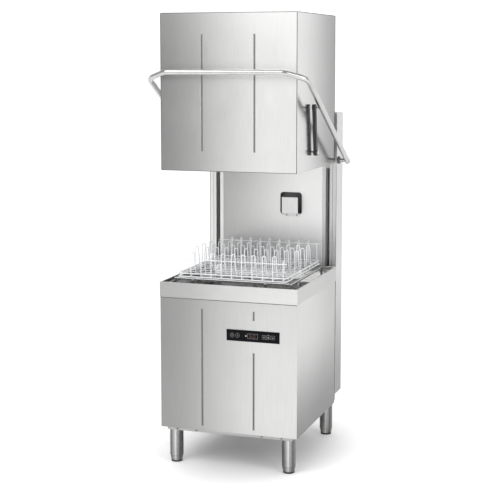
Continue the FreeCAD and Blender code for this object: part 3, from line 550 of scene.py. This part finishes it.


# ---------------------------------------------------------------- small fittings and painted shade strips
def hood_seam_and_rim_shade():
    """Dark strips at the joints and along the folds of the hood's front and side sheets, painting the shade
    in these creases, and a painted shadow under the overlap of the tank rim.
    """
    low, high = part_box("hood_shell")
    proud = 0.2 * MM
    top_strip = (high.z - 3.0 * MM, high.z - 0.6 * MM)
    spans = []
    for edge, inward, wide in ((low.x, 1, 2.4), (high.x, -1, 3.6)):
        near, far = sorted((edge + inward * 1.0 * MM, edge + inward * (1.0 + wide) * MM))
        spans.append(((near, low.y - proud, low.z + 1 * MM), (far, low.y + proud, high.z - 1 * MM)))
    for bottom, top in ((low.z + 0.3 * MM, low.z + 2.6 * MM), top_strip):
        spans.append(((low.x + 3.4 * MM, low.y - proud, bottom), (high.x - 4.6 * MM, low.y + proud, top)))
    for side in (low.x, high.x):
        near, far = side - proud, side + proud
        spans.append(((near, low.y + 4 * MM, top_strip[0]), (far, high.y - 3 * MM, top_strip[1])))
        spans.append(((near, high.y - 8 * MM, low.z + 2 * MM), (far, high.y - 2 * MM, high.z - 3 * MM)))
    blocks("hood_seam_shade_strips", spans, "crease_shade", "hood")
    low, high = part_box("front_panel")
    gap = ((low.x + 1 * MM, low.y - proud, high.z - 3.2 * MM),
           (high.x - 1 * MM, low.y + proud, high.z - 0.2 * MM))
    blocks("rim_shadow_gap", [gap], "crease_shade", "machine")


def groove_shadows():
    """Dark strips at the bottoms of the pressed grooves in the hood and in the front panel: painted shade."""
    wide, deep, thick = 4 * MM, 3 * MM, 0.4 * MM
    centre = 117 * MM
    hood_low, hood_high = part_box("hood_shell")
    front_low, front_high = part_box("front_panel")
    panel_low, panel_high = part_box("control_panel")
    runs = {
        "hood": (hood_low.y, [(x, hood_low.z + 85 * MM, hood_high.z - 91 * MM) for x in (-centre, centre)]),
        "machine": (front_low.y, [(-centre, front_low.z + 20 * MM, front_high.z - 42 * MM),
                                  (centre, front_low.z + 21 * MM, panel_low.z - 49 * MM),
                                  (centre, panel_high.z + 43 * MM, front_high.z - 40 * MM)]),
    }
    for body, (face, grooves) in runs.items():
        floor = face + deep
        spans = [((x - wide, floor - thick, low), (x + wide, floor, high)) for x, low, high in grooves]
        blocks(f"{body}_groove_shade_strips", spans, "recess_shade", body)


def column_lines():
    """Folded linings of the guide slots, and dark lines beside them that paint the shade in the column's
    folds.
    """
    edges, channels, folds = [], [], []
    tank_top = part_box("tank_rim")[1].z
    slot_inset, fold_half = 26.5 * MM, 0.7 * MM
    for side, sign in (("left", -1), ("right", 1)):
        low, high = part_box(f"column_{side}")
        inner = low.x if sign > 0 else high.x
        face, top = low.y, high.z - 4 * MM
        slot = inner + sign * slot_inset
        for offset in (-9.5, 8.7):
            x = slot + offset * MM
            edges.append(((x, face - 0.5 * MM, tank_top + 3 * MM), (x + 0.8 * MM, face + 2.6 * MM, top)))
        for near, far in ((-17, -4.5), (4.5, 17)):
            channels.append(((slot + near * MM, face + 20.4 * MM, tank_top + 2 * MM),
                             (slot + far * MM, face + 21.4 * MM, top)))
        for offset in (49, 66.4):
            x = inner + sign * offset * MM
            folds.append(((x - fold_half, face - 0.25 * MM, tank_top + 1 * MM),
                          (x + fold_half, face, high.z - 2 * MM)))
    blocks("guide_slot_edges", edges, "rod", "machine")
    blocks("guide_slot_channels", channels, "channel", "machine")
    blocks("column_fold_shade_lines", folds, "crease_shade", "machine")


def steam_duct():
    """The throat of the steam duct behind the opening in the back panel, coloured dark as painted shade."""
    plate_low, plate_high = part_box("vent_cover")
    x, z = 92.6 * MM, 1100.3 * MM
    half, wall, deep = 54 * MM, 1 * MM, 46 * MM
    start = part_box("back_panel")[0].y + 1.7 * MM
    end = start + deep
    spans = []
    for sign in (-1, 1):
        near, far = sorted((sign * half, sign * (half - wall)))
        spans.append(((x + near, start, z - half), (x + far, end, z + half)))
        spans.append(((x - half + wall, start, z + near), (x + half - wall, end, z + far)))
    spans.append(((x - half, end, z - half), (x + half, end + wall, z + half)))
    blocks("steam_duct", spans, "recess_shade", "machine")
    screws = bmesh.new()
    for place in (plate_low.x + 14 * MM, plate_high.x - 14 * MM):
        disc(screws, (place, plate_high.y - 3.2 * MM, plate_low.z + 7 * MM), 3.6 * MM, 1.8 * MM, sides=20)
    piece("vent_screws", screws, "screw", "machine")


def rack_hooks():
    """Bent strip hooks that hold the rack rails at the front and the back."""
    low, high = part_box("rack_support")
    rail, strip, half_width = 10 * MM, 1.4 * MM, 6 * MM
    foot = high.z - 30 * MM
    spans = []
    for x in (-175 * MM, 155 * MM):
        for y, out in ((low.y + rail / 2, -1), (high.y - rail / 2, 1)):
            face = y + out * 5.2 * MM
            near, far = sorted((face, face + out * strip))
            spans.append(((x - half_width, near, foot), (x + half_width, far, high.z + 3 * MM)))
            near, far = sorted((y - out * 6 * MM, face + out * strip))
            spans.append(((x - half_width, near, foot - strip), (x + half_width, far, foot)))
    blocks("rail_hooks", spans, "rod", "machine", 0.3 * MM)


def rear_fittings():
    """Screws round the rear panel and two rows of louvres that let the machine space breathe; the louvres are
    flat dark strips that paint the shade in their openings.
    """
    low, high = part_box("rear_panel")
    face = high.y
    inset, screw_rows = 24 * MM, 4
    screws = bmesh.new()
    for x in (low.x + 14 * MM, high.x - 14 * MM):
        for step in range(screw_rows):
            z = low.z + inset + step * (high.z - low.z - 2 * inset) / (screw_rows - 1)
            disc(screws, (x, face, z), 4.5 * MM, 0.5 * MM, sides=24)
    piece("rear_screws", screws, "screw", "machine")
    louvre_shade_strips = []
    for x in (-150 * MM, 20 * MM):
        for step in range(9):
            z = low.z + (90 + 14 * step) * MM
            louvre_shade_strips.append(((x, face - 0.2 * MM, z), (x + 130 * MM, face + 0.5 * MM, z + 6 * MM)))
    blocks("rear_louvre_shade_strips", louvre_shade_strips, "recess_shade", "machine")


def arm_fittings(kind, finish, first, pitch, count, across, radius, depth, sides, inner):
    """Rows of rings or discs on the facing sides of the lower and the upper arm of a kind. first, pitch and
    across are in millimetres."""
    for end in ("lower", "upper"):
        low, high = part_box(f"{end}_{kind}_arm")
        middle = (low + high) / 2
        z = high.z if end == "lower" else low.z - depth
        mesh = bmesh.new()
        for side in (-1, 1):
            for step in range(count):
                place = (middle.x + side * (first + pitch * step) * MM, middle.y + side * across * MM, z)
                disc(mesh, place, radius, depth, axis="z", sides=sides, inner=inner)
        name = "nozzles" if inner else "jets"
        piece(f"{end}_{kind}_arm_{name}", mesh, finish, f"{end}_{kind}")


def arm_nozzles():
    """Rows of pressed slots along the wash arms and small jets on the rinse arms."""
    arm_fittings("wash", "satin", 50, 34, 6, 4, 6.5 * MM, 0.6 * MM, 20, 3.4 * MM)
    arm_fittings("rinse", "brass", 44, 42, 5, 0, 3 * MM, 1.2 * MM, 16, 0.0)


def screw_sockets():
    """The hexagon sockets in the base screws' heads, drawn as near-black hexagons that paint the shade inside
    them.
    """
    low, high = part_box("base_screws")
    level = (low.z + high.z) / 2
    mesh = bmesh.new()
    for x in (-239 * MM, -150 * MM, 150 * MM, 239 * MM):
        disc(mesh, (x, low.y - 0.15 * MM, level), 2.3 * MM, 0.3 * MM, sides=6)
    piece("screw_sockets", mesh, "dark", "machine")


def foot_pads():
    """The black rubber ring round the base of each levelling foot, and a dark ring under its leg tube that
    paints the shade in the gap there.
    """
    pad_radius, pad_inner, pad_depth = 24.9 * MM, 21 * MM, 7 * MM
    gap_radius, gap_inner, gap_depth = 29.4 * MM, 27.6 * MM, 1.5 * MM
    for corner in CORNERS:
        low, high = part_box(f"foot_{corner}")
        x, y = (low.x + high.x) / 2, (low.y + high.y) / 2
        pad = bmesh.new()
        disc(pad, (x, y, low.z + 1 * MM), pad_radius, pad_depth, axis="z", sides=48, inner=pad_inner)
        piece(f"foot_pad_{corner}", pad, "rubber", f"{corner}_foot")
        tube_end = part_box(f"leg_{corner}")[0].z
        gap = bmesh.new()
        disc(gap, (x, y, tube_end - gap_depth), gap_radius, gap_depth, axis="z", sides=48, inner=gap_inner)
        piece(f"leg_end_gap_shade_{corner}", gap, "crease_shade", "machine")


# ---------------------------------------------------------------- studio
def studio():
    """A pale sweep that lights itself, but not round and under the machine, so its shadow stays; the fade of
    its glow towards the machine also paints a shadow pool on the floor round it.
    """
    ground = bmesh.new()
    reach, rear, rise, bend, bend_steps = 40.0, 5.0, 9.0, 2.5, 8
    profile = [(-reach, 0.0), (rear, 0.0)]
    for step in range(1, bend_steps + 1):
        turn = math.radians(90 * step / bend_steps)
        profile.append((rear + bend * math.sin(turn), bend - bend * math.cos(turn)))
    profile.append((rear + bend, rise))
    rows = [[ground.verts.new((x, y, z)) for x in (-reach, reach)] for y, z in profile]
    for one, two in zip(rows, rows[1:]):
        ground.faces.new((one[0], one[1], two[1], two[0]))
    mesh = bpy.data.meshes.new("studio_sweep")
    ground.to_mesh(mesh)
    ground.free()
    graph = Graph("studio_paper")
    paper = graph.noise(3.0, 2.0)
    colour = graph.tint(graph.span(paper, 0.3, 0.7, 0.93, 0.95), (1, 1, 1))
    graph.link(colour, graph.shader.inputs["Emission Color"])
    place = graph.add("ShaderNodeSeparateXYZ")
    graph.link(graph.coords, place.inputs["Vector"])
    from_middle = graph.math("MULTIPLY", graph.math("SUBTRACT", place.outputs["X"], 0.02), 1.2)
    reach_x = graph.math("POWER", from_middle, 2)
    reach_y = graph.math("POWER", graph.math("MULTIPLY", place.outputs["Y"], 0.8), 2)
    painted_shadow_reach = graph.math("SQRT", graph.math("ADD", reach_x, reach_y))
    # The glow fades out in an ellipse round the machine: a painted shadow pool.
    graph.link(graph.span(painted_shadow_reach, 0.20, 0.62, 0.0, 0.42), graph.shader.inputs["Emission Strength"])
    mesh.materials.append(graph.finish(colour, 0.9))
    sweep = bpy.data.objects.new("studio_sweep", mesh)
    bpy.context.scene.collection.objects.link(sweep)


def area_light(name, place, aim, size, power):
    light = bpy.data.lights.new(name, "AREA")
    light.shape = "RECTANGLE"
    light.size, light.size_y = size
    light.energy = power
    item = bpy.data.objects.new(name, light)
    item.location = place
    item.rotation_euler = (Vector(aim) - Vector(place)).to_track_quat("-Z", "Y").to_euler()
    bpy.context.scene.collection.objects.link(item)


def lighting():
    """An even room, a large soft light from the front and a weaker one from the right."""
    world = bpy.data.worlds.new("soft_room")
    bpy.context.scene.world = world
    world.use_nodes = True
    background = world.node_tree.nodes["Background"]
    background.inputs["Color"].default_value = (0.97, 0.97, 0.97, 1.0)
    background.inputs["Strength"].default_value = 0.50
    centre = (0, 0, 1.0)
    area_light("key_left", (-1.5, -4.2, 4.5), centre, (4.4, 4.4), 146)
    area_light("fill_right", (3.6, -2.2, 2.4), centre, (2.4, 3.2), 62)


def camera():
    """From the machine's front right, at the height of the raised hood's middle, with a slight look down."""
    data = bpy.data.cameras.new("camera")
    data.sensor_width = 36
    data.lens = 91.632
    data.shift_y = -0.07
    data.clip_end = 60
    item = bpy.data.objects.new("camera", data)
    item.location = (1.8015, -5.3668, 1.7756)
    item.rotation_euler = (math.radians(90 - 7.049), 0, math.radians(18.664))
    bpy.context.scene.collection.objects.link(item)
    bpy.context.scene.camera = item


dress_nodes()
wire_rack()
control_marks()
hood_seam_and_rim_shade()
groove_shadows()
column_lines()
steam_duct()
rack_hooks()
rear_fittings()
arm_nozzles()
screw_sockets()
foot_pads()
studio()
lighting()
camera()
bpy.context.scene.view_settings.view_transform = "Standard"
